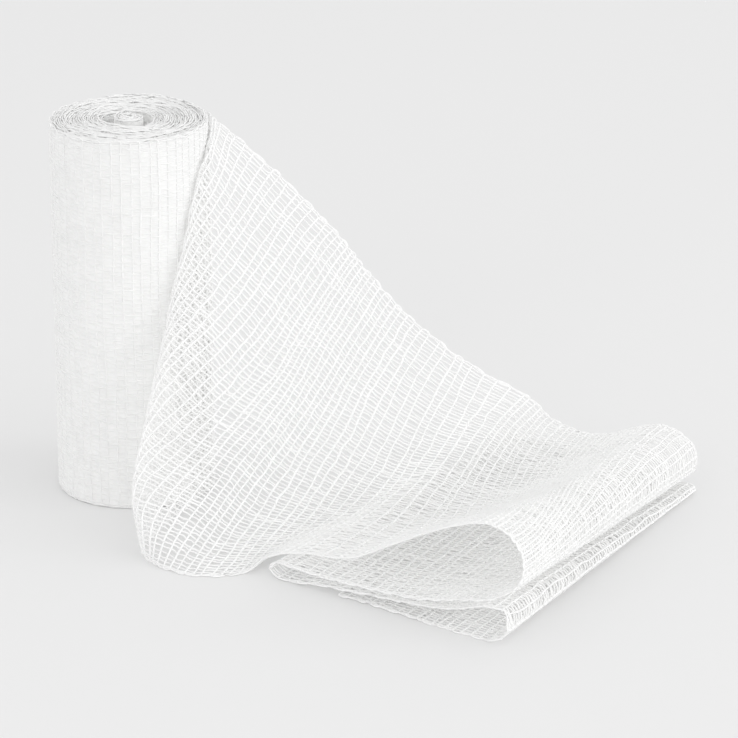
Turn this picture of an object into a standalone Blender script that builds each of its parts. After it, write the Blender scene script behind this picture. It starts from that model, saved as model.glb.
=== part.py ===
"""A gauze bandage roll that stands on its end, with its loose end pulled out.

The strip leaves the right side of the roll, bends round to the front at its
lower edge, slopes down to the right while it turns from upright to flat, and
lies folded back and forth in four layers on the surface.

The origin is on the roll's axis, on the surface that the part rests on.
+Z is up, and the sizes and tables below are in millimetres.
"""
import math
from collections import namedtuple

import bmesh
import bpy
import numpy as np
from mathutils import Vector

MM = 0.001

# The roll
ROLL_RADIUS = 20.0
ROLL_HEIGHT = 100.0
ROLL_SIDES = 80
RIM_ROUNDING = 0.6

# The wound turns that show at the roll's upper end
TURN_COUNT = 4
GROOVE_DEPTH = 3.0
GROOVE_OUTER_RADIUS = 17.6
GROOVE_INNER_RADIUS = 3.6
GROOVE_OUTER_WIDTH = 0.7
GROOVE_INNER_WIDTH = 2.2
GROOVE_START_ANGLE = 60.0
GROOVE_STEPS_PER_TURN = 26
CUT_ABOVE = 1.0

# The loose end. The clearance to the roll leaves room for the flats between
# points, and cloth that is closer than the cling reach is drawn to the roll.
SHEET_THICKNESS = 1.0
ROLL_CLEARANCE = 0.55
CLING_REACH = 4.0
WOUND_RADIUS = ROLL_RADIUS + ROLL_CLEARANCE + SHEET_THICKNESS / 2
BULGE_WAY = Vector((0.5, -0.87, 0.0)).normalized()

# The greatest step along the strip between two rows of points, the number of
# times that the swept rows are evened out, and the rows in which that fades.
SHEET_STEP = 4.2
EVENING_PASSES = 4
EVENING_FADE = 12

# Each weft of the loose end is straight, goes round its bend, and is straight
# again. The bend takes up to this much of it on either side, or this share of
# a shorter leg, and the numbers of steps are those of the three stretches.
BEND_REACH = 26.0
BEND_SHARE = 0.5
FAR_STEPS = 5
BEND_STEPS = 8
NEAR_STEPS = 4
BEND_COLUMN = FAR_STEPS + BEND_STEPS // 2

# The folded stack: its two lower right corners, and the way its layers run
NEAR_CORNER = Vector((90.4, -102.7, 0.0))
FAR_CORNER = Vector((147.7, -9.0, 0.0))
LAYER_DIRECTION = Vector((0.807, -0.590, 0.0)).normalized()

COTTON_COLOUR = (0.86, 0.86, 0.85, 1.0)
COTTON_ROUGHNESS = 0.95

# A weft is a line across the strip. It starts at the far edge, goes round its
# bend and ends at the near edge, which is the lower edge of the upright cloth.
# The bulge is how far it stands out, to the front, between far edge and bend.
Weft = namedtuple("Weft", "name far bulge bend near")

# A fold is a weft of the stack. "along" is measured from the stack's corners,
# to the right, and the dip is how far the middle of the weft sags.
Fold = namedtuple("Fold", "name near_along near_height far_along far_height dip")


def on_roll(angle, height):
    """A point of the sheet's middle where it lies against the roll."""
    turn = math.radians(angle)
    return (WOUND_RADIUS * math.cos(turn), WOUND_RADIUS * math.sin(turn), height)


SWEEP = (
    # name           far edge           bulge  bend                  near edge
    Weft("wound",    on_roll(45, 100),    0.0, on_roll(45, 94),      on_roll(45, 0)),
    Weft("peel",     (19.0, 9.8, 100.0),  0.0, on_roll(22, 93),      on_roll(20, 0)),
    Weft("collar",   (22.5, 5.0, 98.5),   3.5, (18.3, -12.4, 89.0),  on_roll(-3, 0)),
    Weft("shoulder", (28.3, 2.0, 95.0),   4.5, (15.0, -16.4, 73.0),  on_roll(-18, 0)),
    Weft("chest",    (34.5, 1.0, 90.0),   4.0, (11.5, -20.5, 62.2),  (18.0, -13.5, 0)),
    Weft("waist",    (41.5, 0.5, 82.5),   3.0, (8.5, -25.5, 50.2),   (14.0, -22.0, 0)),
    Weft("thigh",    (48.5, 2.0, 74.5),   3.0, (6.0, -32.5, 39.2),   (9.5, -31.0, 0)),
    Weft("shin",     (54.0, 4.0, 68.0),   3.0, (4.5, -40.0, 29.9),   (6.0, -40.0, 0)),
    Weft("toe",      (58.0, 6.0, 61.5),   3.0, (1.8, -48.0, 16.8),   (4.0, -49.0, 0)),
    Weft("foot 1",   (61.0, 8.0, 56.5),   2.0, (8.7, -54.0, 6.8),    (7.5, -56.5, 0)),
    Weft("foot 2",   (64.7, 9.5, 52.0),   1.0, (17.0, -55.0, 5.4),   (12.5, -61.5, 0)),
    Weft("foot 3",   (68.6, 11.0, 46.0),  0.0, (30.0, -45.0, 6.5),   (20.0, -64.5, 0)),
    Weft("foot 4",   (74.0, 13.0, 40.0),  0.0, (42.0, -36.0, 7.5),   (27.5, -63.5, 0)),
    Weft("slope 1",  (81.6, 15.0, 33.0),  0.0, (54.0, -26.0, 7.3),   (32.0, -61.5, 0.8)),
    Weft("slope 2",  (91.0, 17.0, 25.0),  0.0, (65.0, -24.0, 6.8),   (35.6, -62.5, 4.6)),
)

STACK = (
    #     name           near along, height   far along, height   dip
    Fold("slope 3",        -58.0, 8.6,          -54.0, 15.5,       5.0),
    Fold("valley 1",       -41.0, 11.6,         -45.0, 10.3,       4.2),
    Fold("valley 2",       -31.0, 17.0,         -36.0, 9.0,        4.7),
    Fold("rise 1",         -18.5, 24.0,         -26.0, 10.9,       4.5),
    Fold("rise 2",          -8.5, 28.6,         -17.5, 14.8,       3.5),
    Fold("crest",           -0.5, 30.8,         -10.0, 16.7,       2.0),
    Fold("brow 1",           5.6, 29.1,          -3.9, 15.2,       1.0),
    Fold("brow 2",           9.2, 25.2,          -0.8, 12.4,       0.5),
    Fold("right fold",       9.8, 21.2,          -0.2, 9.1,        0.0),
    Fold("under",            8.1, 16.8,          -1.0, 6.1,        0.0),
    Fold("tuck",             3.2, 12.9,          -4.0, 4.3,        0.0),
    Fold("layer 2 right",  -10.0, 8.6,          -16.0, 3.9,        0.0),
    Fold("layer 2 middle", -21.0, 6.0,          -28.0, 3.8,        0.0),
    Fold("layer 2 left",   -38.0, 4.6,          -42.0, 3.8,        0.0),
    Fold("loop rise",      -52.0, 4.1,          -50.0, 3.8,        0.0),
    Fold("loop top",       -60.0, 4.4,          -54.5, 3.7,        0.0),
    Fold("loop turn",      -65.2, 4.0,          -57.8, 3.2,        0.0),
    Fold("left fold",      -66.8, 2.4,          -58.9, 2.1,        0.0),
    Fold("loop low",       -65.0, 0.9,          -57.8, 1.0,        0.0),
    Fold("loop floor",     -60.0, 0.5,          -55.0, 0.5,        0.0),
    Fold("layer 3 left",   -52.0, 1.5,          -50.0, 1.2,        0.0),
    Fold("layer 3 middle", -38.0, 2.8,          -42.0, 2.1,        0.0),
    Fold("layer 3 right",  -21.0, 4.1,          -28.0, 2.2,        0.0),
    Fold("lip rise",       -10.0, 6.0,          -16.0, 2.2,        0.0),
    Fold("lip top",          1.5, 9.3,           -4.0, 2.4,        0.0),
    Fold("lip turn",         4.9, 8.7,           -0.9, 2.1,        0.0),
    Fold("lower fold",       5.8, 5.6,           -0.1, 1.4,        0.0),
    Fold("lip low",          3.9, 2.2,           -0.9, 0.7,        0.0),
    Fold("lip floor",        0.0, 0.5,           -3.5, 0.5,        0.0),
    Fold("layer 4",        -22.0, 0.5,          -25.0, 0.5,        0.0),
    Fold("cut end",        -45.0, 0.5,          -46.0, 0.5,        0.0),
)


def clear_scene():
    for item in list(bpy.data.objects):
        bpy.data.objects.remove(item, do_unlink=True)


def cotton_material(name):
    material = bpy.data.materials.new(name)
    material.use_nodes = True
    shader = material.node_tree.nodes["Principled BSDF"]
    shader.inputs["Base Color"].default_value = COTTON_COLOUR
    shader.inputs["Roughness"].default_value = COTTON_ROUGHNESS
    shader.inputs["Metallic"].default_value = 0.0
    return material


def make_object(name, form, material_name):
    """Turn a bmesh in millimetres into a named object in metres."""
    bmesh.ops.scale(form, vec=(MM, MM, MM), verts=form.verts)
    mesh = bpy.data.meshes.new(name)
    form.to_mesh(mesh)
    form.free()
    item = bpy.data.objects.new(name, mesh)
    bpy.context.scene.collection.objects.link(item)
    mesh.materials.append(cotton_material(material_name))
    return item


def prism(outline, low, high):
    """A closed upright solid on an outline of plan points."""
    form = bmesh.new()
    floor = [form.verts.new((x, y, low)) for x, y in outline]
    base = form.faces.new(floor)
    raised = bmesh.ops.extrude_face_region(form, geom=[base])
    lifted = [v for v in raised["geom"] if isinstance(v, bmesh.types.BMVert)]
    bmesh.ops.translate(form, vec=(0, 0, high - low), verts=lifted)
    bmesh.ops.recalc_face_normals(form, faces=form.faces)
    return form


def roll_body():
    """The wound cloth: a pressed cylinder, flat at its foot, round at its rim."""
    angles = [2 * math.pi * step / ROLL_SIDES for step in range(ROLL_SIDES)]
    outline = [(ROLL_RADIUS * math.cos(a), ROLL_RADIUS * math.sin(a)) for a in angles]
    form = prism(outline, 0.0, ROLL_HEIGHT)
    rim = [e for e in form.edges if all(v.co.z > ROLL_HEIGHT / 2 for v in e.verts)]
    bmesh.ops.bevel(form, geom=rim, offset=RIM_ROUNDING, segments=2, affect="EDGES")
    return make_object("roll", form, "wound_gauze")


def groove_outline():
    """The plan of the spiral gap between the turns, wider towards the middle."""
    outer_side = []
    inner_side = []
    steps = TURN_COUNT * GROOVE_STEPS_PER_TURN
    for step in range(steps + 1):
        share = step / steps
        angle = math.radians(GROOVE_START_ANGLE) - 2 * math.pi * TURN_COUNT * share
        radius = GROOVE_OUTER_RADIUS + (GROOVE_INNER_RADIUS - GROOVE_OUTER_RADIUS) * share
        width = GROOVE_OUTER_WIDTH + (GROOVE_INNER_WIDTH - GROOVE_OUTER_WIDTH) * share ** 3
        for side, reach in ((outer_side, width / 2), (inner_side, -width / 2)):
            side.append(((radius + reach) * math.cos(angle), (radius + reach) * math.sin(angle)))
    return outer_side + inner_side[::-1]


def cut_turns(roll):
    """Cut the spiral between the main turns into the roll's upper end."""
    form = prism(groove_outline(), ROLL_HEIGHT - GROOVE_DEPTH, ROLL_HEIGHT + CUT_ABOVE)
    cutter = make_object("turn_cutter", form, "wound_gauze")
    cutter.hide_render = True
    cutter.display_type = "WIRE"
    cut = roll.modifiers.new("turns", "BOOLEAN")
    cut.operation = "DIFFERENCE"
    cut.solver = "EXACT"
    cut.object = cutter


def fold_weft(fold):
    """The weft that a row of the stack's table describes."""
    near = NEAR_CORNER + LAYER_DIRECTION * fold.near_along + Vector((0, 0, fold.near_height))
    far = FAR_CORNER + LAYER_DIRECTION * fold.far_along + Vector((0, 0, fold.far_height))
    bend = (near + far) / 2 - Vector((0, 0, fold.dip))
    return Weft(fold.name, far, 0.0, bend, near)


def weft_points(weft):
    """Points along a weft, with the bend's middle at the same place in each list."""
    far, bend, near = (Vector(place) for place in (weft.far, weft.bend, weft.near))
    reach = min(BEND_REACH, BEND_SHARE * (far - bend).length, BEND_SHARE * (near - bend).length)
    # The curve's middle lies a quarter of the reach inside its corner.
    inward = (far - bend).normalized() + (near - bend).normalized()
    corner = bend - inward * (reach / 4)
    start = corner + (far - corner).normalized() * reach
    end = corner + (near - corner).normalized() * reach
    points = [far.lerp(start, step / FAR_STEPS) for step in range(FAR_STEPS)]
    for step in range(BEND_STEPS):
        t = step / BEND_STEPS
        points.append(start.lerp(corner, t).lerp(corner.lerp(end, t), t))
    points += [end.lerp(near, step / NEAR_STEPS) for step in range(NEAR_STEPS + 1)]
    for point in points[:BEND_COLUMN]:
        share = (point - far).length / (bend - far).length
        point += BULGE_WAY * (weft.bulge * math.sin(math.pi * min(share, 1.0)) ** 2)
    return points


def smooth_rows(rows):
    """Rows between the table's rows, on a curve that runs smoothly through them."""
    gaps = np.linalg.norm(np.diff(rows, axis=0), axis=2).mean(axis=1)
    slopes = np.diff(rows, axis=0) / gaps[:, None, None]
    share = (gaps[1:] / (gaps[1:] + gaps[:-1]))[:, None, None]
    tangents = np.concatenate([slopes[:1], share * slopes[:-1] + (1 - share) * slopes[1:], slopes[-1:]])
    result = []
    for index, gap in enumerate(gaps):
        steps = math.ceil(gap / SHEET_STEP)
        for step in range(steps):
            t = step / steps
            result.append(
                (1 + 2 * t) * (1 - t) ** 2 * rows[index]
                + t * (1 - t) ** 2 * gap * tangents[index]
                + t * t * (3 - 2 * t) * rows[index + 1]
                - t * t * (1 - t) * gap * tangents[index + 1]
            )
    result.append(rows[-1])
    return np.array(result)


def even_out(grid, rows):
    """Draw each point of the first rows half-way to its neighbours, less so towards the last of them."""
    strength = np.clip((rows - np.arange(len(grid))) / EVENING_FADE, 0.0, 1.0) / 2
    strength = strength[1:-1, None, None]
    for _ in range(EVENING_PASSES):
        grid[1:-1] += strength * ((grid[:-2] + grid[2:]) / 2 - grid[1:-1])
        grid[1:-1, 1:-1] += strength * ((grid[1:-1, :-2] + grid[1:-1, 2:]) / 2 - grid[1:-1, 1:-1])
    return grid


def rest_against_roll(grid):
    """Lay the cloth that is close to the roll against it.

    From its bend to its near edge it clings to the roll, and no part of it
    comes closer than where it is wound.
    """
    distance = np.linalg.norm(grid[:, :, :2], axis=2)
    gap = np.maximum(distance - WOUND_RADIUS, 0.0)
    gap[:, BEND_COLUMN + 1:] *= np.minimum(gap[:, BEND_COLUMN + 1:] / CLING_REACH, 1.0)
    grid[:, :, :2] *= ((WOUND_RADIUS + gap) / distance)[:, :, None]
    return grid


def sheet_middle():
    """The middle surface of the loose end, as a grid of points."""
    sweep = [weft_points(weft) for weft in SWEEP]
    stack = [weft_points(fold_weft(fold)) for fold in STACK]
    sweep_rows = len(smooth_rows(np.array(sweep)))
    grid = smooth_rows(np.array(sweep + stack))
    return rest_against_roll(even_out(grid, sweep_rows))


def directions(grid, axis):
    """The way the grid runs at each point: halfway between its two neighbouring steps."""
    steps = np.diff(grid, axis=axis)
    steps /= np.linalg.norm(steps, axis=2, keepdims=True)
    first = np.take(steps, [0], axis=axis)
    last = np.take(steps, [-1], axis=axis)
    return np.concatenate([first, steps], axis=axis) + np.concatenate([steps, last], axis=axis)


def sheet_normals(grid):
    normals = np.cross(directions(grid, 0), directions(grid, 1))
    return normals / np.linalg.norm(normals, axis=2, keepdims=True)


def sheet_faces():
    """The points of the cloth's two faces, none of them below the floor or above the roll."""
    middle = sheet_middle()
    normals = sheet_normals(middle)
    half = SHEET_THICKNESS / 2
    middle[:, :, 2] = np.maximum(middle[:, :, 2], half * np.abs(normals[:, :, 2]))
    faces = np.stack([middle + half * normals, middle - half * normals])
    faces[:, :, :, 2] = np.minimum(faces[:, :, :, 2], ROLL_HEIGHT)
    return faces


def loose_end():
    """The sheet: a flat sleeve round both faces of the cloth, closed at its ends."""
    form = bmesh.new()
    rings = []
    for upper, lower in zip(*sheet_faces()):
        rings.append([form.verts.new(point) for point in (*upper, *lower[::-1])])
    for ring, following in zip(rings, rings[1:]):
        for a, b, c, d in zip(ring, following, following[1:] + following[:1], ring[1:] + ring[:1]):
            form.faces.new((a, b, c, d))
    for ring in (rings[0], rings[-1]):
        upper, lower = ring[:len(ring) // 2], ring[::-1][:len(ring) // 2]
        for a, b, c, d in zip(upper, lower, lower[1:], upper[1:]):
            form.faces.new((a, b, c, d))
    bmesh.ops.recalc_face_normals(form, faces=form.faces)
    bmesh.ops.triangulate(form, faces=form.faces)
    item = make_object("tail", form, "open_gauze")
    item.data.shade_smooth()
    return item


def main():
    clear_scene()
    roll = roll_body()
    cut_turns(roll)
    loose_end()


main()
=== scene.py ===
"""A gauze bandage roll with its loose end pulled out, woven thread by thread.

The cloth is a plain weave. Its warps run along the strip, so round the roll,
and its wefts run across the strip, so up and down the roll. The tables hold
the loose end's shape, in millimetres. Every mesh is in metres.
"""

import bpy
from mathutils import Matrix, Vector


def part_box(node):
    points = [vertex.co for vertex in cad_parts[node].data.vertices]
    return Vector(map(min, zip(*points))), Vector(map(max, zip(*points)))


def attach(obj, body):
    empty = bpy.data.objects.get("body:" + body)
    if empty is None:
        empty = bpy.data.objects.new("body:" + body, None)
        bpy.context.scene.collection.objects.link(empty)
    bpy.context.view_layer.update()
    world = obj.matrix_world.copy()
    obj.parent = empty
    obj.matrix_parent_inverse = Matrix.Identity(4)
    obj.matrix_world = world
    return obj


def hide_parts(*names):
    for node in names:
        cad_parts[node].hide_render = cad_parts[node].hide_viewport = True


bl_info = {
    "name": "Gauze Bandage Roll",
    "version": (1, 0, 0),
    "blender": (4, 5, 0),
    "location": "View3D > Sidebar > Gauze",
    "description": "Winds a roll of open gauze and weaves its loose end",
    "category": "Add Mesh",
}

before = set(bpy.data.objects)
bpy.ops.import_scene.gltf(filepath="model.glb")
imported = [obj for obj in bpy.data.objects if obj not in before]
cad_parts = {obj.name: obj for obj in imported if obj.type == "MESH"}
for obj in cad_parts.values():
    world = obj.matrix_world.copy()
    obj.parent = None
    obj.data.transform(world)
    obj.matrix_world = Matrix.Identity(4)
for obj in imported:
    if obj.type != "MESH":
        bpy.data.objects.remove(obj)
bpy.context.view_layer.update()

import math
from collections import namedtuple

import bpy
import numpy as np
from bpy.props import FloatProperty, FloatVectorProperty, IntProperty, PointerProperty
from mathutils import Vector

MM = 0.001
WELD_DISTANCE = 0.001 * MM

# The roll, and the width of the strip that the tables are drawn for, in millimetres
ROLL_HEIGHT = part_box("roll")[1].z / MM
ROLL_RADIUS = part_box("roll")[1].x / MM
STRIP_WIDTH = 100.0

# The loose end's middle surface, in millimetres. The cloth is wound at a radius as
# far as the leaving angle, in degrees. From its bend to its near edge it clings to
# the roll where it is closer than the reach, and from its far edge to its bend it
# bulges one way. Its rows lie at most a step apart.
LEAVING_ANGLE = 45.0
WOUND_RADIUS = ROLL_RADIUS + 1.05
CLING_REACH = 4.0
BULGE_WAY = Vector((0.5, -0.87, 0.0)).normalized()
SHEET_STEP = 4.2

# How far a weft's bend reaches to both sides, at most and as a share of its arms,
# and how many points lie on the far arm, the bend and the near arm
BEND_REACH = 26.0
BEND_SHARE = 0.5
FAR_STEPS = 5
BEND_STEPS = 8
NEAR_STEPS = 4
BEND_COLUMN = FAR_STEPS + BEND_STEPS // 2

# The upright and sloping part is evened out in some passes, and less so over its
# last rows.
EVENING_PASSES = 4
EVENING_FADE = 12

# The folded stack: its two lower right corners, and the way its layers run
NEAR_CORNER = Vector((90.4, -102.7, 0.0))
FAR_CORNER = Vector((147.7, -9.0, 0.0))
LAYER_DIRECTION = Vector((0.807, -0.590, 0.0)).normalized()

# The outermost turn of the roll, in millimetres and degrees. It has a weft of points
# at every step, with its bend's middle at a height, though it is straight. The turn
# rises from those below it over its last degrees, before it leaves them.
OUTER_TURN_RADIUS = 19.74
OUTER_TURN_STEP = 8.0
OUTER_TURN_BEND = 94.0
RISING_ANGLE = 70.0

# The turns bulge by so much round the angle where they are looser. The bulge ends
# at the reach to both sides of it, and fades out over the last degrees of that.
LOOSE_BULGE = 0.75
LOOSE_ANGLE = 10.0
LOOSE_REACH = 105.0
LOOSE_FADE = 50.0

# A skew is a place along the loose end round which the wefts run askew, and less so
# up to its reach before and after it. Across the given share of the cloth's width,
# the wefts gain the lead on their far ends. All but the share is in millimetres.
Skew = namedtuple("Skew", "place reach_before reach_after lead share")
SKEWS = (Skew(62.0, 30.0, 30.0, 7.0, 0.45), Skew(152.0, 34.0, 38.0, 30.0, 1.0))

# The slack loose end is woven this much wider than the roll is high, in millimetres.
WIDENING = 5.0

# At each selvage the outermost warp lies closer to its neighbour, and the cloth goes
# on outside it by a margin, both as shares of the warp pitch. The weft turns round
# within the reach, in millimetres, and there it has a share of its full width.
SELVAGE_GAP = 0.5
SELVAGE_MARGIN = 0.6
SELVAGE_REACH = 0.45
SELVAGE_WIDTH = 0.75

# How the threads stray, as shares of the distance between them. In the wound part
# they stray less, and the full straying sets in over some wefts. A weft keeps at
# least some of its distance to the last one, and strays less where it has less room.
WEFT_JITTER = 0.10
WOUND_SLACK = 0.45
SLACK_WEFTS = 12
LEAST_ADVANCE = 0.4
LEAST_ROOM = 0.3
WARP_STRAY = 0.12
WARP_DRIFT = 0.15
WARP_SWAY = 0.13

# How far a weft gives way where a warp crosses it, as a share of the warps' crimp
WEFT_CRIMP = 0.2

# How unevenly the threads are spun, and their least and greatest width, as shares
WEFT_UNEVENNESS = 0.10
WARP_UNEVENNESS = 0.12
WEFT_WIDTHS = (0.6, 1.4)
WARP_WIDTHS = (0.6, 1.5)

# The fine grid that the threads are laid on, and the parts of it that wefts and
# warps keep off at each long edge
FINE_STEP = 0.8
FINE_COLUMNS = 140
WEFT_EDGE = 0.002
WARP_EDGE = 0.001

# The turns below the outermost one, in millimetres: an upright band with points at
# some levels and at its upper edge, which lies a little below the roll's height
BAND_OUTER_RADIUS = 19.46
BAND_THICKNESS = 0.53
BAND_STEP = 1.4
BAND_LEVELS = (0.2, 3.0, 50.0, 95.0, 97.4, 98.4)
BAND_DROP = 0.9
BAND_STRAY = 0.22
BAND_SMOOTH_ANGLE = math.radians(40)

# The innermost turn of the band sinks by so much, from one radius on
INNER_DROP = 5.0
INNER_DROP_RADIUS = 7.0
INNER_DROP_FADE = 0.9

# The spiral strays in waves that repeat so often a turn, with a share of the stray
# each, and that shift by an angle for each millimetre of depth. They set in over
# the first millimetres below the outer end. The bulge fades by a power of the radius.
Wave = namedtuple("Wave", "repeats share shift")
SPIRAL_WAVES = (Wave(2, 1.0, 0.10), Wave(3, 0.5, -0.17), Wave(5, 0.35, 0.35))
STRAY_DEPTH = 2.0
BULGE_POWER = 4

# The curl in the roll's middle, in millimetres, but for its looseness
CURL_CENTRE = (0.4, 0.6)
CURL_INNER_RADIUS = 0.9
CURL_STEP = 0.9
CURL_LOOSENESS = 1.1
CURL_LIFT = 0.4

# The turns' upper edges, in millimetres. Some neighbouring turns stand up together,
# in a wave over the radius that wobbles round each turn. All sway in a second wave,
# which repeats round each turn, and there is some noise. Angles are in radians.
EDGE_STAND = 0.25
EDGE_STAND_WAVE = 1.3
EDGE_STAND_WOBBLE = 0.8
EDGE_STAND_SHIFT = 1.0
EDGE_SWAY = 0.15
EDGE_SWAY_WAVE = 0.9
EDGE_SWAY_REPEATS = 2
EDGE_NOISE = 0.10

# The threads at these edges, in millimetres. The warps run along the edge, at some
# levels below the roll's height, and stray by a share of their radius. The wefts
# come up, turn over and go down again. Their widths are shares.
EDGE_WARP_LEVELS = (0.3, 0.8)
EDGE_WARP_STRAY = 0.006
EDGE_WARP_UNEVENNESS = 0.15
EDGE_RISE = 0.12
EDGE_WEFT_STRAY = 0.35
EDGE_WEFT_SHIFTS = (0.0, 0.25, 0.5)
EDGE_WEFT_TOP = 0.4
EDGE_WEFT_SHOULDER = 0.5
EDGE_WEFT_BOTTOM = 3.0
EDGE_WEFT_WIDTH = 1.2

# How strongly the fibres of the cotton show, in the open cloth and in the roll, and
# its darkest tone as a share of its colour
OPEN_FIBRES = 0.5
WOUND_FIBRES = 0.6
DARKEST_TONE = 0.96

# The studio, in metres
FLOOR_SIZE = 12.0
FLOOR_PLACE = (0.0, 2.0, 0.0)
LAMP_TARGET = Vector((0.05, -0.03, 0.04))
CAMERA_PLACE = (0.0618, -0.9869, 0.4072)

# A weft is a line across the strip. It starts at the far edge, goes round its
# bend and ends at the near edge, which is the lower edge of the upright cloth.
Weft = namedtuple("Weft", "name far bulge bend near")

# A fold is a weft of the stack. "along" is measured from the stack's corners,
# to the right, and the dip is how far the middle of the weft sags.
Fold = namedtuple("Fold", "name near_along near_height far_along far_height dip")

# A cloth is a fine grid of points on its middle surface, with their normals.
# Its rows are a step apart along the strip, and its columns run across it.
Cloth = namedtuple("Cloth", "points normals step")

# A weave is where wefts (rows) and warps (columns) cross, on a cloth's grid.
Weave = namedtuple("Weave", "cloth along across")


def on_roll(angle, height, radius=WOUND_RADIUS):
    """A point of a cloth's middle where it lies round the roll's axis."""
    turn = math.radians(angle)
    return (radius * math.cos(turn), radius * math.sin(turn), height)


SWEEP = (
    # name           far edge           bulge  bend                  near edge
    Weft("wound",    on_roll(45, 100),    0.0, on_roll(45, 94),      on_roll(45, 0)),
    Weft("peel",     (19.0, 9.8, 100.0),  0.0, on_roll(22, 93),      on_roll(20, 0)),
    Weft("collar",   (22.5, 5.0, 98.5),   3.5, (18.3, -12.4, 89.0),  on_roll(-3, 0)),
    Weft("shoulder", (28.3, 2.0, 95.0),   4.5, (15.0, -16.4, 73.0),  on_roll(-18, 0)),
    Weft("chest",    (34.5, 1.0, 90.0),   4.0, (11.5, -20.5, 62.2),  (18.0, -13.5, 0)),
    Weft("waist",    (41.5, 0.5, 82.5),   3.0, (8.5, -25.5, 50.2),   (14.0, -22.0, 0)),
    Weft("thigh",    (48.5, 2.0, 74.5),   3.0, (6.0, -32.5, 39.2),   (9.5, -31.0, 0)),
    Weft("shin",     (54.0, 4.0, 68.0),   3.0, (4.5, -40.0, 29.9),   (6.0, -40.0, 0)),
    Weft("toe",      (58.0, 6.0, 61.5),   3.0, (1.8, -48.0, 16.8),   (4.0, -49.0, 0)),
    Weft("foot 1",   (61.0, 8.0, 56.5),   2.0, (8.7, -54.0, 6.8),    (7.5, -56.5, 0)),
    Weft("foot 2",   (64.7, 9.5, 52.0),   1.0, (17.0, -55.0, 5.4),   (12.5, -61.5, 0)),
    Weft("foot 3",   (68.6, 11.0, 46.0),  0.0, (30.0, -45.0, 6.5),   (20.0, -64.5, 0)),
    Weft("foot 4",   (74.0, 13.0, 40.0),  0.0, (42.0, -36.0, 7.5),   (27.5, -63.5, 0)),
    Weft("slope 1",  (81.6, 15.0, 33.0),  0.0, (54.0, -26.0, 7.3),   (32.0, -61.5, 0.8)),
    Weft("slope 2",  (91.0, 17.0, 25.0),  0.0, (65.0, -24.0, 6.8),   (35.6, -62.5, 4.6)),
)

STACK = (
    #     name           near along, height   far along, height   dip
    Fold("slope 3",        -58.0, 8.6,          -54.0, 15.5,       5.0),
    Fold("valley 1",       -41.0, 11.6,         -45.0, 10.3,       4.2),
    Fold("valley 2",       -31.0, 17.0,         -36.0, 9.0,        4.7),
    Fold("rise 1",         -18.5, 24.0,         -26.0, 10.9,       4.5),
    Fold("rise 2",          -8.5, 28.6,         -17.5, 14.8,       3.5),
    Fold("crest",           -0.5, 30.8,         -10.0, 16.7,       2.0),
    Fold("brow 1",           5.6, 29.1,          -3.9, 15.2,       1.0),
    Fold("brow 2",           9.2, 25.2,          -0.8, 12.4,       0.5),
    Fold("right fold",       9.8, 21.2,          -0.2, 9.1,        0.0),
    Fold("under",            8.1, 16.8,          -1.0, 6.1,        0.0),
    Fold("tuck",             3.2, 12.9,          -4.0, 4.3,        0.0),
    Fold("layer 2 right",  -10.0, 8.6,          -16.0, 3.9,        0.0),
    Fold("layer 2 middle", -21.0, 6.0,          -28.0, 3.8,        0.0),
    Fold("layer 2 left",   -38.0, 4.6,          -42.0, 3.8,        0.0),
    Fold("loop rise",      -52.0, 4.1,          -50.0, 3.8,        0.0),
    Fold("loop top",       -60.0, 4.4,          -54.5, 3.7,        0.0),
    Fold("loop turn",      -65.2, 4.0,          -57.8, 3.2,        0.0),
    Fold("left fold",      -66.8, 2.4,          -58.9, 2.1,        0.0),
    Fold("loop low",       -65.0, 0.9,          -57.8, 1.0,        0.0),
    Fold("loop floor",     -60.0, 0.5,          -55.0, 0.5,        0.0),
    Fold("layer 3 left",   -52.0, 1.5,          -50.0, 1.2,        0.0),
    Fold("layer 3 middle", -38.0, 2.8,          -42.0, 2.1,        0.0),
    Fold("layer 3 right",  -21.0, 4.1,          -28.0, 2.2,        0.0),
    Fold("lip rise",       -10.0, 6.0,          -16.0, 2.2,        0.0),
    Fold("lip top",          1.5, 9.3,           -4.0, 2.4,        0.0),
    Fold("lip turn",         4.9, 8.7,           -0.9, 2.1,        0.0),
    Fold("lower fold",       5.8, 5.6,           -0.1, 1.4,        0.0),
    Fold("lip low",          3.9, 2.2,           -0.9, 0.7,        0.0),
    Fold("lip floor",        0.0, 0.5,           -3.5, 0.5,        0.0),
    Fold("layer 4",        -22.0, 0.5,          -25.0, 0.5,        0.0),
    Fold("cut end",        -45.0, 0.5,          -46.0, 0.5,        0.0),
)


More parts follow.
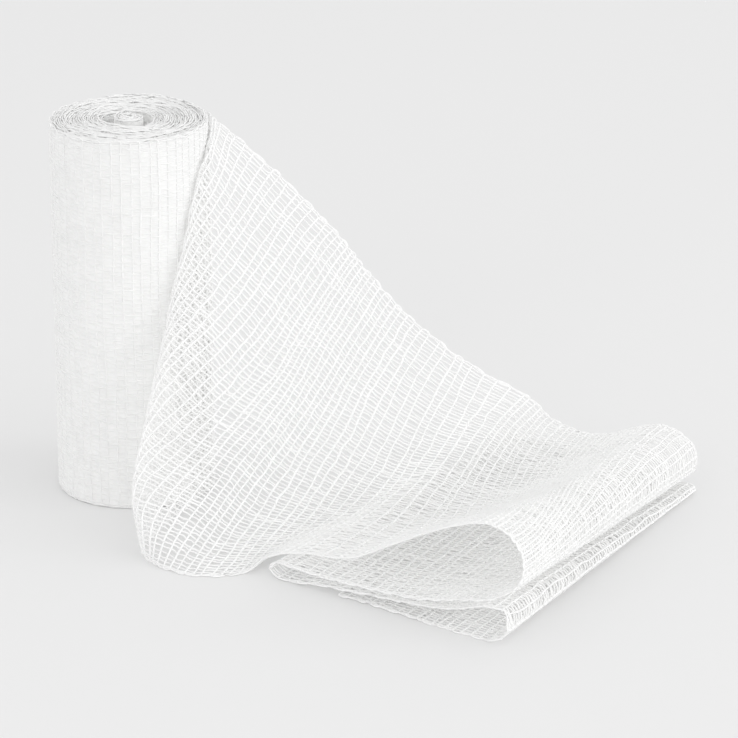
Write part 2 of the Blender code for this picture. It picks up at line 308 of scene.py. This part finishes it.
class GauzeThreads(bpy.types.PropertyGroup):
    """The threads of the cloth."""

    warp_pitch: FloatProperty(
        name="Warp pitch", description="Distance from one lengthwise thread to the next",
        default=1.16 * MM, unit="LENGTH", precision=5)
    weft_pitch: FloatProperty(
        name="Weft pitch", description="Distance from one crosswise thread to the next",
        default=2.45 * MM, unit="LENGTH", precision=5)
    warp_thickness: FloatProperty(
        name="Warp thickness", description="Diameter of a lengthwise thread",
        default=0.47 * MM, unit="LENGTH", precision=5)
    weft_thickness: FloatProperty(
        name="Weft thickness", description="Diameter of a crosswise thread",
        default=0.55 * MM, unit="LENGTH", precision=5)
    weft_wander: FloatProperty(
        name="Weft wander", description="How far a crosswise thread strays from its line",
        default=0.17 * MM, unit="LENGTH", precision=5)
    drift: FloatProperty(
        name="Drift", description="How far neighbouring threads stray together",
        default=0.30 * MM, unit="LENGTH", precision=5)
    crimp: FloatProperty(
        name="Crimp", description="How far a lengthwise thread rises over a crosswise one",
        default=0.12 * MM, unit="LENGTH", precision=5)
    cotton: FloatVectorProperty(
        name="Cotton", description="Colour of the bleached cotton",
        default=(0.985, 0.985, 0.98), subtype="COLOR", min=0.0, max=1.0)
    # Painted shade: the warps are greyer than the wefts, to stand for the shade seen in the gaps round
    # them.
    warp_cotton_painted_shade: FloatVectorProperty(
        name="Warp cotton",
        description="Colour of the lengthwise threads, whose looser spin looks duller",
        default=(0.915, 0.915, 0.91), subtype="COLOR", min=0.0, max=1.0)
    seed: IntProperty(
        name="Seed", description="Another number makes the threads stray in another way", default=7)


class GauzeRoll(bpy.types.PropertyGroup):
    """The wound part of the strip."""

    cotton: FloatVectorProperty(
        name="Wound cotton",
        description="Colour of the cotton in the roll, where the turns shade each other",
        default=(0.89, 0.89, 0.885), subtype="COLOR", min=0.0, max=1.0)
    turn_pitch: FloatProperty(
        name="Turn pitch", description="Distance from one turn of the roll to the next",
        default=0.52 * MM, unit="LENGTH", precision=5)
    core_radius: FloatProperty(
        name="Core radius", description="Radius of the empty space round the inner curl",
        default=5.0 * MM, unit="LENGTH", precision=5)
    curl_radius: FloatProperty(
        name="Curl radius", description="Radius of the small curl in the middle",
        default=3.5 * MM, unit="LENGTH", precision=5)


class GauzeStudio(bpy.types.PropertyGroup):
    """The floor, the lights and the camera."""

    floor_colour: FloatVectorProperty(
        name="Floor", description="Colour of the floor", default=(0.79, 0.79, 0.79),
        subtype="COLOR", min=0.0, max=1.0)
    sky_strength: FloatProperty(
        name="Sky", description="Strength of the even light from all round", default=0.88, min=0.0)
    key_power: FloatProperty(
        name="Key light", description="Power of the large light at the front right",
        default=4.8, unit="POWER")
    side_power: FloatProperty(
        name="Side light", description="Power of the light at the right side",
        default=9.0, unit="POWER")
    fill_power: FloatProperty(
        name="Fill light", description="Power of the light at the left", default=4.2, unit="POWER")
    top_power: FloatProperty(
        name="Top light", description="Power of the large light above", default=0.8, unit="POWER")
    bounces: IntProperty(
        name="Bounces", description="How often light bounces about inside the white cloth",
        default=14, min=1)
    gamma: FloatProperty(
        name="Gamma", description="How much the picture's middle tones are lifted",
        default=1.2, min=0.1)
    lens: FloatProperty(
        name="Lens", description="Focal length of the camera, in millimetres", default=197.2)
    pitch: FloatProperty(
        name="Pitch", description="How far the camera looks down",
        default=math.radians(20.85), subtype="ANGLE")


def fold_weft(fold):
    """The weft that a row of the stack's table describes."""
    near = NEAR_CORNER + LAYER_DIRECTION * fold.near_along + Vector((0, 0, fold.near_height))
    far = FAR_CORNER + LAYER_DIRECTION * fold.far_along + Vector((0, 0, fold.far_height))
    bend = (near + far) / 2 - Vector((0, 0, fold.dip))
    return Weft(fold.name, far, 0.0, bend, near)


def weft_points(weft):
    """Points along a weft, with the bend's middle at the same place in each list."""
    far, bend, near = (Vector(place) for place in (weft.far, weft.bend, weft.near))
    reach = min(BEND_REACH, BEND_SHARE * (far - bend).length, BEND_SHARE * (near - bend).length)
    # The curve's middle lies a quarter of the reach inside its corner.
    inward = (far - bend).normalized() + (near - bend).normalized()
    corner = bend - inward * (reach / 4)
    start = corner + (far - corner).normalized() * reach
    end = corner + (near - corner).normalized() * reach
    points = [far.lerp(start, step / FAR_STEPS) for step in range(FAR_STEPS)]
    for step in range(BEND_STEPS):
        t = step / BEND_STEPS
        points.append(start.lerp(corner, t).lerp(corner.lerp(end, t), t))
    points += [end.lerp(near, step / NEAR_STEPS) for step in range(NEAR_STEPS + 1)]
    for point in points[:BEND_COLUMN]:
        share = (point - far).length / (bend - far).length
        point += BULGE_WAY * (weft.bulge * math.sin(math.pi * min(share, 1.0)) ** 2)
    return points


def curve_through(points, places, wanted):
    """Points at the wanted places of a smooth curve that runs through given points."""
    gaps = np.diff(places)
    wide = gaps.reshape((-1,) + (1,) * (points.ndim - 1))
    slopes = np.diff(points, axis=0) / wide
    share = wide[1:] / (wide[1:] + wide[:-1])
    middle = share * slopes[:-1] + (1 - share) * slopes[1:]
    tangents = np.concatenate([slopes[:1], middle, slopes[-1:]])
    index = np.clip(np.searchsorted(places, wanted, side="right") - 1, 0, len(gaps) - 1)
    t = ((wanted - places[index]) / gaps[index]).reshape((-1,) + (1,) * (points.ndim - 1))
    gap = wide[index]
    return (
        (1 + 2 * t) * (1 - t) ** 2 * points[index]
        + t * (1 - t) ** 2 * gap * tangents[index]
        + t * t * (3 - 2 * t) * points[index + 1]
        - t * t * (1 - t) * gap * tangents[index + 1]
    )


def line_lengths(points):
    """How far along a line each of its points lies."""
    return np.concatenate([[0.0], np.cumsum(np.linalg.norm(np.diff(points, axis=0), axis=1))])


def row_places(rows):
    """How far along the strip each row lies, by the mean step between the rows."""
    steps = np.linalg.norm(np.diff(rows, axis=0), axis=2).mean(axis=1)
    return np.concatenate([[0.0], np.cumsum(steps)])


def even_out(grid, rows):
    """Draw the first rows' points half-way to their neighbours, less so in the last ones."""
    strength = np.clip((rows - np.arange(len(grid))) / EVENING_FADE, 0.0, 1.0) / 2
    strength = strength[1:-1, None, None]
    for _ in range(EVENING_PASSES):
        grid[1:-1] += strength * ((grid[:-2] + grid[2:]) / 2 - grid[1:-1])
        grid[1:-1, 1:-1] += strength * ((grid[1:-1, :-2] + grid[1:-1, 2:]) / 2 - grid[1:-1, 1:-1])
    return grid


def rest_against_roll(grid):
    """Lay the cloth that is close to the roll against it."""
    distance = np.linalg.norm(grid[:, :, :2], axis=2)
    gap = np.maximum(distance - WOUND_RADIUS, 0.0)
    gap[:, BEND_COLUMN + 1:] *= np.minimum(gap[:, BEND_COLUMN + 1:] / CLING_REACH, 1.0)
    grid[:, :, :2] *= ((WOUND_RADIUS + gap) / distance)[:, :, None]
    return grid


def loose_end_rows():
    """The middle surface of the loose end, as the frame has it, in millimetres."""
    rows = np.array([weft_points(w) for w in SWEEP] + [weft_points(fold_weft(f)) for f in STACK])
    places = row_places(rows)
    wanted = []
    sweep_rows = 0
    for index, gap in enumerate(np.diff(places)):
        steps = math.ceil(gap / SHEET_STEP)
        wanted += [places[index] + gap * step / steps for step in range(steps)]
        if index < len(SWEEP) - 1:
            sweep_rows += steps
    wanted.append(places[-1])
    grid = curve_through(rows, places, np.array(wanted))
    return rest_against_roll(even_out(grid, sweep_rows + 1))


def soft_step(share):
    """A smooth rise from 0 to 1 while the share goes from 0 to 1."""
    share = np.clip(share, 0.0, 1.0)
    return share * share * (3 - 2 * share)


def loose_side(angle):
    """How much the roll bulges at an angle: 1 where it is loosest, 0 on the other side."""
    away = (angle - LOOSE_ANGLE + 180.0) % 360.0 - 180.0
    return soft_step((LOOSE_REACH - np.abs(away)) / LOOSE_FADE)


def outer_turn_rows():
    """The last turn of the roll, which runs on into the loose end, in millimetres."""
    rows = []
    for angle in np.arange(LEAVING_ANGLE + 360, LEAVING_ANGLE, -OUTER_TURN_STEP):
        under = OUTER_TURN_RADIUS + LOOSE_BULGE * loose_side(angle)
        rise = soft_step(1 - (angle - LEAVING_ANGLE) / RISING_ANGLE)
        reach = under + (WOUND_RADIUS - under) * rise
        heights = (STRIP_WIDTH, OUTER_TURN_BEND, 0.0)
        far, bend, near = (on_roll(angle, height, reach) for height in heights)
        rows.append(weft_points(Weft("turn", far, 0.0, bend, near)))
    return np.array(rows)


def directions(grid, axis):
    """The way the grid runs at each point: halfway between its two neighbouring steps."""
    steps = np.diff(grid, axis=axis)
    steps /= np.linalg.norm(steps, axis=2, keepdims=True)
    first = np.take(steps, [0], axis=axis)
    last = np.take(steps, [-1], axis=axis)
    return np.concatenate([first, steps], axis=axis) + np.concatenate([steps, last], axis=axis)


def fine_cloth(rows):
    """A cloth in metres on a fine even grid, from rows of points in millimetres."""
    shares = np.linspace(0.0, 1.0, FINE_COLUMNS + 1)
    even = []
    for row in rows:
        lengths = line_lengths(row)
        even.append(curve_through(row, lengths / lengths[-1], shares))
    even = np.array(even)
    places = row_places(even)
    count = round(places[-1] / FINE_STEP)
    points = curve_through(even, places, np.linspace(0.0, places[-1], count + 1))
    normals = np.cross(directions(points, 0), directions(points, 1))
    normals /= np.linalg.norm(normals, axis=2, keepdims=True)
    return Cloth(points * MM, normals, places[-1] / count * MM)


def between(grid, row, column):
    """Values of a grid at places between its rows and columns."""
    i = np.clip(row.astype(int), 0, grid.shape[0] - 2)
    j = np.clip(column.astype(int), 0, grid.shape[1] - 2)
    down = (row - i)[..., None]
    right = (column - j)[..., None]
    upper = grid[i, j] * (1 - right) + grid[i, j + 1] * right
    lower = grid[i + 1, j] * (1 - right) + grid[i + 1, j + 1] * right
    return upper * (1 - down) + lower * down


def soft_noise(rng, rows, columns, row_reach, column_reach):
    """Random numbers for a grid that change smoothly over the given reaches."""
    coarse = rng.normal(size=(int(rows / row_reach) + 3, int(columns / column_reach) + 3, 1))
    down, right = np.arange(rows) / row_reach, np.arange(columns) / column_reach
    row, column = np.meshgrid(down, right, indexing="ij")
    row = np.floor(row) + soft_step(row % 1)
    column = np.floor(column) + soft_step(column % 1)
    return between(coarse, row, column)[:, :, 0]


def cross_threads(cloth, start, rng, threads):
    """Where wefts and warps cross: each thread strays, but none passes its neighbour.

    The cloth is wound as far as the start, where the loose end begins.
    """
    length = (len(cloth.points) - 1) * cloth.step
    count = round(length / threads.weft_pitch)
    pitch = length / count
    warps = round((ROLL_HEIGHT + WIDENING) * MM / threads.warp_pitch)
    gaps = np.ones(warps - 1)
    gaps[0] = gaps[-1] = SELVAGE_GAP
    places = np.concatenate([[0.0], np.cumsum(gaps)]) + SELVAGE_MARGIN
    across = np.repeat(places[None, :] / (places[-1] + SELVAGE_MARGIN), count + 1, axis=0)
    order = np.arange(count + 1)
    rest = order * pitch
    rest[1:-1] += rng.normal(size=count - 1) * pitch * WEFT_JITTER
    ends = np.clip(np.minimum(order, count - order) / 2, 0, 1)
    loose = soft_step((rest - start) / pitch / SLACK_WEFTS + 0.5)
    slack = (ends * (WOUND_SLACK + (1 - WOUND_SLACK) * loose))[:, None]
    along = np.repeat(rest[:, None], warps, axis=1)
    for skew in SKEWS:
        away = (rest - start) / MM - skew.place
        away /= np.where(away < 0, skew.reach_before, skew.reach_after)
        along += skew.lead * MM * np.exp(-away ** 2)[:, None] * soft_step(across / skew.share)
    least = rest[:, None] * LEAST_ADVANCE
    along = np.maximum.accumulate(along - least, axis=0) + least
    room = np.clip(np.gradient(along, axis=0) / pitch, LEAST_ROOM, 1.0)
    size = along.shape
    along += slack * room * threads.drift * soft_noise(rng, *size, row_reach=4, column_reach=12)
    along += slack * room * threads.weft_wander * soft_noise(rng, *size, row_reach=1, column_reach=4)
    along = np.maximum.accumulate(along, axis=0)
    along = np.minimum(along, length)
    across += slack * WARP_STRAY / warps * soft_noise(rng, *size, row_reach=1, column_reach=1)
    across += slack * WARP_DRIFT / warps * soft_noise(rng, *size, row_reach=9, column_reach=3)
    return Weave(cloth, along, np.clip(across, WEFT_EDGE, 1 - WEFT_EDGE))


def on_cloth(cloth, along, across, height):
    """Points on a cloth, raised from its middle by a height."""
    row = along / cloth.step
    column = across * (cloth.points.shape[1] - 1)
    raised = between(cloth.points, row, column)
    return raised + between(cloth.normals, row, column) * height[..., None]


def warps_over(weave):
    """1 where a warp goes over a weft, and -1 where it goes under it."""
    return (np.indices(weave.along.shape).sum(axis=0) % 2) * 2.0 - 1.0


def weft_line(weave, rows, rng, threads):
    """One weft that goes to and fro across the given rows, and turns round at each selvage."""
    count, warps = weave.along.shape
    height = -WEFT_CRIMP * threads.crimp * warps_over(weave)
    points = on_cloth(weave.cloth, weave.along, weave.across, height)
    thick = 1 + WEFT_UNEVENNESS * rng.normal(size=(count, 1))
    thick = thick + WEFT_UNEVENNESS * soft_noise(rng, count, warps, row_reach=1, column_reach=4)
    turns = np.pi * np.array([1, 3, 5, 7])[:, None] / 8
    line, widths = [], []
    for row in rows:
        way = 1 if row % 2 else -1
        run = points[row, ::way]
        line.append(run)
        widths.append(thick[row, ::way])
        if row + 1 in rows:
            following = points[row + 1, ::way][-1]
            outward = run[-1] - run[-2]
            outward *= SELVAGE_REACH * MM / np.linalg.norm(outward)
            middle = (run[-1] + following) / 2
            line.append(middle + np.cos(turns) * (run[-1] - middle) + np.sin(turns) * outward)
            widths.append(np.full(len(turns), SELVAGE_WIDTH))
    return np.vstack(line), np.clip(np.concatenate(widths), *WEFT_WIDTHS)


def warp_lines(weave, rng, threads):
    """A weave's warps, which go over one weft and under the next."""
    rows, warps = weave.along.shape
    along = np.repeat(weave.along, 2, axis=0)[:-1]
    across = np.repeat(weave.across, 2, axis=0)[:-1]
    height = np.repeat(threads.crimp * warps_over(weave), 2, axis=0)[:-1]
    along[1::2] = (weave.along[:-1] + weave.along[1:]) / 2
    across[1::2] = (weave.across[:-1] + weave.across[1:]) / 2
    across[1::2] += WARP_SWAY / warps * rng.normal(size=(rows - 1, warps))
    height[1::2] = 0.0
    points = on_cloth(weave.cloth, along, np.clip(across, WARP_EDGE, 1 - WARP_EDGE), height)
    thick = 1 + WARP_UNEVENNESS * rng.normal(size=(1, warps))
    thick = thick + WARP_UNEVENNESS * soft_noise(rng, 2 * rows - 1, warps, row_reach=3, column_reach=1)
    return [(points[:, warp], np.clip(thick[:, warp], *WARP_WIDTHS)) for warp in range(warps)]


def only_selected(piece):
    """Select a piece alone, as the operators that work on it need."""
    bpy.ops.object.select_all(action="DESELECT")
    piece.select_set(True)
    bpy.context.view_layer.objects.active = piece


def thread_piece(name, lines, thickness, material):
    """One mesh of closed four-sided tubes along lines of points."""
    data = bpy.data.curves.new(name, "CURVE")
    data.dimensions = "3D"
    data.bevel_depth = thickness / 2
    data.bevel_resolution = 0
    data.use_fill_caps = True
    for points, widths in lines:
        spline = data.splines.new("POLY")
        spline.points.add(len(points) - 1)
        # No thread goes through the floor.
        points[:, 2] = np.maximum(points[:, 2], thickness / 2)
        spline.points.foreach_set("co", np.column_stack([points, np.ones(len(points))]).ravel())
        spline.points.foreach_set("radius", widths)
        spline.use_smooth = True
    piece = bpy.data.objects.new(name, data)
    bpy.context.collection.objects.link(piece)
    only_selected(piece)
    bpy.ops.object.convert(target="MESH")
    piece = bpy.context.view_layer.objects.active
    bpy.ops.object.mode_set(mode="EDIT")
    bpy.ops.mesh.select_all(action="SELECT")
    bpy.ops.mesh.remove_doubles(threshold=WELD_DISTANCE)
    bpy.ops.object.mode_set(mode="OBJECT")
    piece.data.materials.clear()
    piece.data.materials.append(material)
    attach(piece, "root")
    return piece


def cotton_material(name, cotton, bump_strength):
    """Bleached cotton: soft white, with fibres as a fine bump and slight changes of tone."""
    material = bpy.data.materials.get(name)
    if material:
        return material
    material = bpy.data.materials.new(name)
    material.use_nodes = True
    nodes, links = material.node_tree.nodes, material.node_tree.links
    shader = nodes["Principled BSDF"]
    shader.inputs["Roughness"].default_value = 0.92
    shader.inputs["Sheen Weight"].default_value = 0.25
    shader.inputs["Sheen Roughness"].default_value = 0.6
    shader.inputs["Specular IOR Level"].default_value = 0.2
    shader.inputs["Subsurface Weight"].default_value = 0.8
    shader.inputs["Subsurface Scale"].default_value = 0.2 * MM
    shader.inputs["Subsurface Radius"].default_value = (1.0, 1.0, 1.0)
    place = nodes.new("ShaderNodeTexCoord")
    tone = nodes.new("ShaderNodeTexNoise")
    tone.inputs["Scale"].default_value = 260.0
    tone.inputs["Detail"].default_value = 3.0
    ramp = nodes.new("ShaderNodeValToRGB")
    dark, pale = ramp.color_ramp.elements
    dark.position = 0.3
    dark.color = (*(channel * DARKEST_TONE for channel in cotton), 1.0)
    pale.position = 0.62
    pale.color = (*cotton, 1.0)
    fibre = nodes.new("ShaderNodeTexNoise")
    fibre.inputs["Scale"].default_value = 5200.0
    fibre.inputs["Detail"].default_value = 2.0
    bump = nodes.new("ShaderNodeBump")
    bump.inputs["Strength"].default_value = bump_strength
    bump.inputs["Distance"].default_value = 0.05 * MM
    links.new(place.outputs["Object"], tone.inputs["Vector"])
    links.new(place.outputs["Object"], fibre.inputs["Vector"])
    links.new(tone.outputs["Fac"], ramp.inputs["Fac"])
    links.new(ramp.outputs["Color"], shader.inputs["Base Color"])
    links.new(fibre.outputs["Fac"], bump.inputs["Height"])
    links.new(bump.outputs["Normal"], shader.inputs["Normal"])
    return material


class GAUZE_OT_strip(bpy.types.Operator):
    """Weave the loose end, and the roll's outermost turn that it runs on from."""

    bl_idname = "gauze.strip"
    bl_label = "Weave the Loose End"

    def execute(self, context):
        threads = context.scene.gauze_threads
        rng = np.random.default_rng(threads.seed)
        turn = outer_turn_rows()
        cloth = fine_cloth(np.concatenate([turn, loose_end_rows()]))
        start = row_places(turn)[-1] * MM
        weave = cross_threads(cloth, start, rng, threads)
        count, warps = weave.along.shape
        split = int(np.searchsorted(weave.along[:, 0], start))
        all_warps = warp_lines(weave, rng, threads)
        open_cotton = cotton_material("open_cotton", threads.cotton, OPEN_FIBRES)
        # The warps' material carries painted shade: a greyer colour for the shade in the gaps round
        # them.
        warp_cotton_painted_shade = cotton_material("warp_cotton_painted_shade", threads.warp_cotton_painted_shade, OPEN_FIBRES)
        wound_cotton = cotton_material("wound_cotton", context.scene.gauze_roll.cotton, WOUND_FIBRES)
        thin, thick = threads.warp_thickness, threads.weft_thickness
        wound = [(points[:2 * split + 1], widths[:2 * split + 1]) for points, widths in all_warps]
        wound_warps = thread_piece("outer_turn_warps", wound, thin, wound_cotton)
        wound_line = weft_line(weave, range(split), rng, threads)
        wound_weft = thread_piece("outer_turn_weft", [wound_line], thick, wound_cotton)
        loose = [(points[2 * split:], widths[2 * split:]) for points, widths in all_warps]
        upper = thread_piece("loose_end_upper_warps", loose[:warps // 2], thin, warp_cotton_painted_shade)
        lower = thread_piece("loose_end_lower_warps", loose[warps // 2:], thin, warp_cotton_painted_shade)
        loose_line = weft_line(weave, range(split, count), rng, threads)
        piece = thread_piece("loose_end_weft", [loose_line], thick, open_cotton)
        # The loosely spun warps let light through, so they cast no shadow.
        for part in (wound_warps, upper, lower):
            part.visible_shadow = False
        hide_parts("tail")
        return {"FINISHED"}


def spiral(outer, inner, pitch, step, centre, rng, stray, bulge):
    """Plan of a spiral in millimetres: x, y, radius and angle, from its outer to its inner end.

    It strays from a true spiral, and bulges on the side where the roll is loose.
    """
    points = []
    angle = math.radians(LEAVING_ANGLE)
    first_turn = angle + 2 * math.pi
    radius = outer
    phases = rng.uniform(0, 2 * math.pi, len(SPIRAL_WAVES))
    while radius > inner:
        depth = outer - radius
        waves = sum(
            wave.share * math.sin(wave.repeats * angle + phase + depth * wave.shift)
            for wave, phase in zip(SPIRAL_WAVES, phases)
        )
        reach = radius + stray * waves * min(depth / STRAY_DEPTH, 1)
        reach += bulge * loose_side(math.degrees(angle)) * (radius / outer) ** BULGE_POWER
        x = centre[0] + reach * math.cos(angle)
        y = centre[1] + reach * math.sin(angle)
        points.append((x, y, radius, angle))
        angle += step / radius
        if angle > first_turn:
            radius -= pitch * step / radius / (2 * math.pi)
    return np.array(points)


def band_piece(name, plan, top, material):
    """A thin upright band along a plan line, up to its top, closed by its thickness."""
    heights = np.column_stack([np.tile(BAND_LEVELS, (len(plan), 1)), top])
    places = np.zeros((*heights.shape, 3))
    places[:, :, :2] = plan[:, None, :2]
    places[:, :, 2] = heights
    mesh = bpy.data.meshes.new(name)
    corners = np.arange(heights.size).reshape(heights.shape)
    faces = np.stack([corners[:-1, :-1], corners[1:, :-1], corners[1:, 1:], corners[:-1, 1:]], axis=-1)
    mesh.from_pydata((places * MM).reshape(-1, 3).tolist(), [], faces.reshape(-1, 4).tolist())
    piece = bpy.data.objects.new(name, mesh)
    bpy.context.collection.objects.link(piece)
    wall = piece.modifiers.new("thickness", "SOLIDIFY")
    wall.thickness = BAND_THICKNESS * MM
    wall.offset = 0.0
    only_selected(piece)
    bpy.ops.object.modifier_apply(modifier=wall.name)
    bpy.ops.object.shade_smooth_by_angle(angle=BAND_SMOOTH_ANGLE)
    piece.data.materials.append(material)
    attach(piece, "root")
    return piece


def edge_lean(radius, angle):
    """How far a turn's upper edge stands above its mean height, in millimetres."""
    wobble = EDGE_STAND_WOBBLE * np.sin(angle + EDGE_STAND_SHIFT)
    stand = EDGE_STAND * np.sin(EDGE_STAND_WAVE * radius + wobble)
    sway = EDGE_SWAY * np.sin(EDGE_SWAY_WAVE * radius + EDGE_SWAY_REPEATS * angle)
    return stand + sway


def edge_warps(plan, edge, rng):
    """Lines of the warps that run along the upper edge of a band."""
    count = len(plan)
    lines = []
    for level in EDGE_WARP_LEVELS:
        height = ROLL_HEIGHT - level + edge + EDGE_RISE * rng.normal(size=count)
        stray = 1 + EDGE_WARP_STRAY * rng.normal(size=(count, 1))
        line = np.column_stack([plan[:, :2] * stray, height]) * MM
        width = 1 + EDGE_WARP_UNEVENNESS * rng.normal(size=count)
        lines.append((line, np.clip(width, *WARP_WIDTHS)))
    return lines


def edge_wefts(plan, edge, rng, pitch):
    """Lines of the wefts that turn over at the upper edge of a band, one at every pitch."""
    lengths = line_lengths(plan[:, :2])
    places = np.arange(0.0, lengths[-1], pitch)
    places += rng.normal(size=len(places)) * EDGE_WEFT_STRAY
    lines = []
    for place in places:
        rising, over, falling = (
            tuple(float(np.interp(place + shift, lengths, values)) for values in plan[:, :2].T)
            for shift in EDGE_WEFT_SHIFTS
        )
        rise = float(np.interp(place, lengths, edge))
        top = ROLL_HEIGHT - EDGE_WEFT_TOP + rise + EDGE_RISE * rng.normal()
        shoulder = top - EDGE_WEFT_SHOULDER
        bottom = ROLL_HEIGHT - EDGE_WEFT_BOTTOM + rise
        line = np.array([
            (*rising, bottom),
            (*rising, shoulder),
            (*over, top),
            (*falling, shoulder),
            (*falling, bottom),
        ])
        lines.append((line * MM, np.full(len(line), EDGE_WEFT_WIDTH)))
    return lines


class GAUZE_OT_turns(bpy.types.Operator):
    """Wind the inner turns of the roll and the threads at their upper edge."""

    bl_idname = "gauze.turns"
    bl_label = "Wind the Inner Turns"

    def execute(self, context):
        threads = context.scene.gauze_threads
        roll = context.scene.gauze_roll
        rng = np.random.default_rng(threads.seed + 1)
        cotton = cotton_material("wound_cotton", roll.cotton, WOUND_FIBRES)
        pitch = roll.turn_pitch / MM
        main = spiral(BAND_OUTER_RADIUS, roll.core_radius / MM, pitch, BAND_STEP,
                      (0.0, 0.0), rng, stray=BAND_STRAY, bulge=LOOSE_BULGE)
        curl = spiral(roll.curl_radius / MM, CURL_INNER_RADIUS, pitch * CURL_LOOSENESS, CURL_STEP,
                      CURL_CENTRE, rng, stray=0.0, bulge=0.0)
        for name, plan, lift in (("wound_turns", main, 0.0), ("inner_curl", curl, CURL_LIFT)):
            radius, angle = plan[:, 2], plan[:, 3]
            noise = soft_noise(rng, len(plan), 1, row_reach=6, column_reach=1)[:, 0]
            edge = edge_lean(radius, angle) + EDGE_NOISE * noise + lift
            if name == "wound_turns":
                edge -= INNER_DROP * soft_step((INNER_DROP_RADIUS - radius) / INNER_DROP_FADE)
            piece = band_piece(name, plan, ROLL_HEIGHT - BAND_DROP + edge, cotton)
            if name == "wound_turns":
                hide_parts("roll")
            lines = edge_warps(plan, edge, rng)
            lines += edge_wefts(plan, edge, rng, threads.weft_pitch / MM)
            fringe = thread_piece(name + "_edge_threads", lines, threads.warp_thickness, cotton)
        return {"FINISHED"}


class GAUZE_OT_studio(bpy.types.Operator):
    """Lay the floor, hang the lights and set up the camera."""

    bl_idname = "gauze.studio"
    bl_label = "Set Up the Studio"

    def execute(self, context):
        studio = context.scene.gauze_studio
        bpy.ops.mesh.primitive_plane_add(size=FLOOR_SIZE, location=FLOOR_PLACE)
        floor = context.object
        floor.name = "floor"
        paper = bpy.data.materials.new("floor_paper")
        paper.use_nodes = True
        shader = paper.node_tree.nodes["Principled BSDF"]
        shader.inputs["Base Color"].default_value = (*studio.floor_colour, 1.0)
        shader.inputs["Roughness"].default_value = 0.9
        floor.data.materials.append(paper)
        sky = bpy.data.worlds.new("studio_sky")
        sky.use_nodes = True
        light = sky.node_tree.nodes["Background"]
        light.inputs["Color"].default_value = (1.0, 1.0, 1.0, 1.0)
        light.inputs["Strength"].default_value = studio.sky_strength
        context.scene.world = sky
        for name, place, size, power in (
            ("key_light", (1.4, -1.3, 0.45), 0.8, studio.key_power),
            ("side_light", (2.2, -0.35, 0.9), 1.0, studio.side_power),
            ("fill_light", (-0.7, -1.5, 0.5), 0.9, studio.fill_power),
            ("top_light", (0.1, 0.3, 1.8), 1.6, studio.top_power),
        ):
            lamp = bpy.data.lights.new(name, "AREA")
            lamp.size = size
            lamp.energy = power
            item = bpy.data.objects.new(name, lamp)
            item.location = place
            item.visible_camera = False
            way = LAMP_TARGET - Vector(place)
            item.rotation_euler = way.to_track_quat("-Z", "Y").to_euler()
            context.collection.objects.link(item)
        camera = bpy.data.cameras.new("camera")
        camera.lens = studio.lens
        camera.sensor_width = 36.0
        camera.clip_end = 20.0
        item = bpy.data.objects.new("camera", camera)
        item.location = CAMERA_PLACE
        item.rotation_euler = (math.pi / 2 - studio.pitch, 0.0, 0.0)
        context.collection.objects.link(item)
        context.scene.camera = item
        context.scene.cycles.max_bounces = studio.bounces
        context.scene.cycles.diffuse_bounces = studio.bounces
        context.scene.view_settings.view_transform = "Standard"
        context.scene.view_settings.gamma = studio.gamma
        return {"FINISHED"}


class GAUZE_PT_panel(bpy.types.Panel):
    """The settings of the threads, the roll and the studio, and a button for each operator."""

    bl_label = "Gauze Bandage Roll"
    bl_space_type = "VIEW_3D"
    bl_region_type = "UI"
    bl_category = "Gauze"

    def draw(self, context):
        scene = context.scene
        for group in (scene.gauze_threads, scene.gauze_roll, scene.gauze_studio):
            box = self.layout.box()
            for name in group.__annotations__:
                box.prop(group, name)
        for operator in OPERATORS:
            self.layout.operator(operator.bl_idname)


OPERATORS = (GAUZE_OT_strip, GAUZE_OT_turns, GAUZE_OT_studio)
CLASSES = (GauzeThreads, GauzeRoll, GauzeStudio, *OPERATORS, GAUZE_PT_panel)


def register():
    for item in CLASSES:
        bpy.utils.register_class(item)
    bpy.types.Scene.gauze_threads = PointerProperty(type=GauzeThreads)
    bpy.types.Scene.gauze_roll = PointerProperty(type=GauzeRoll)
    bpy.types.Scene.gauze_studio = PointerProperty(type=GauzeStudio)


def unregister():
    del bpy.types.Scene.gauze_threads
    del bpy.types.Scene.gauze_roll
    del bpy.types.Scene.gauze_studio
    for item in reversed(CLASSES):
        bpy.utils.unregister_class(item)


def main():
    """Build the studio and every piece."""
    register()
    bpy.ops.gauze.studio()
    bpy.ops.gauze.strip()
    bpy.ops.gauze.turns()
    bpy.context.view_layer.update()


if __name__ == "__main__":
    main()
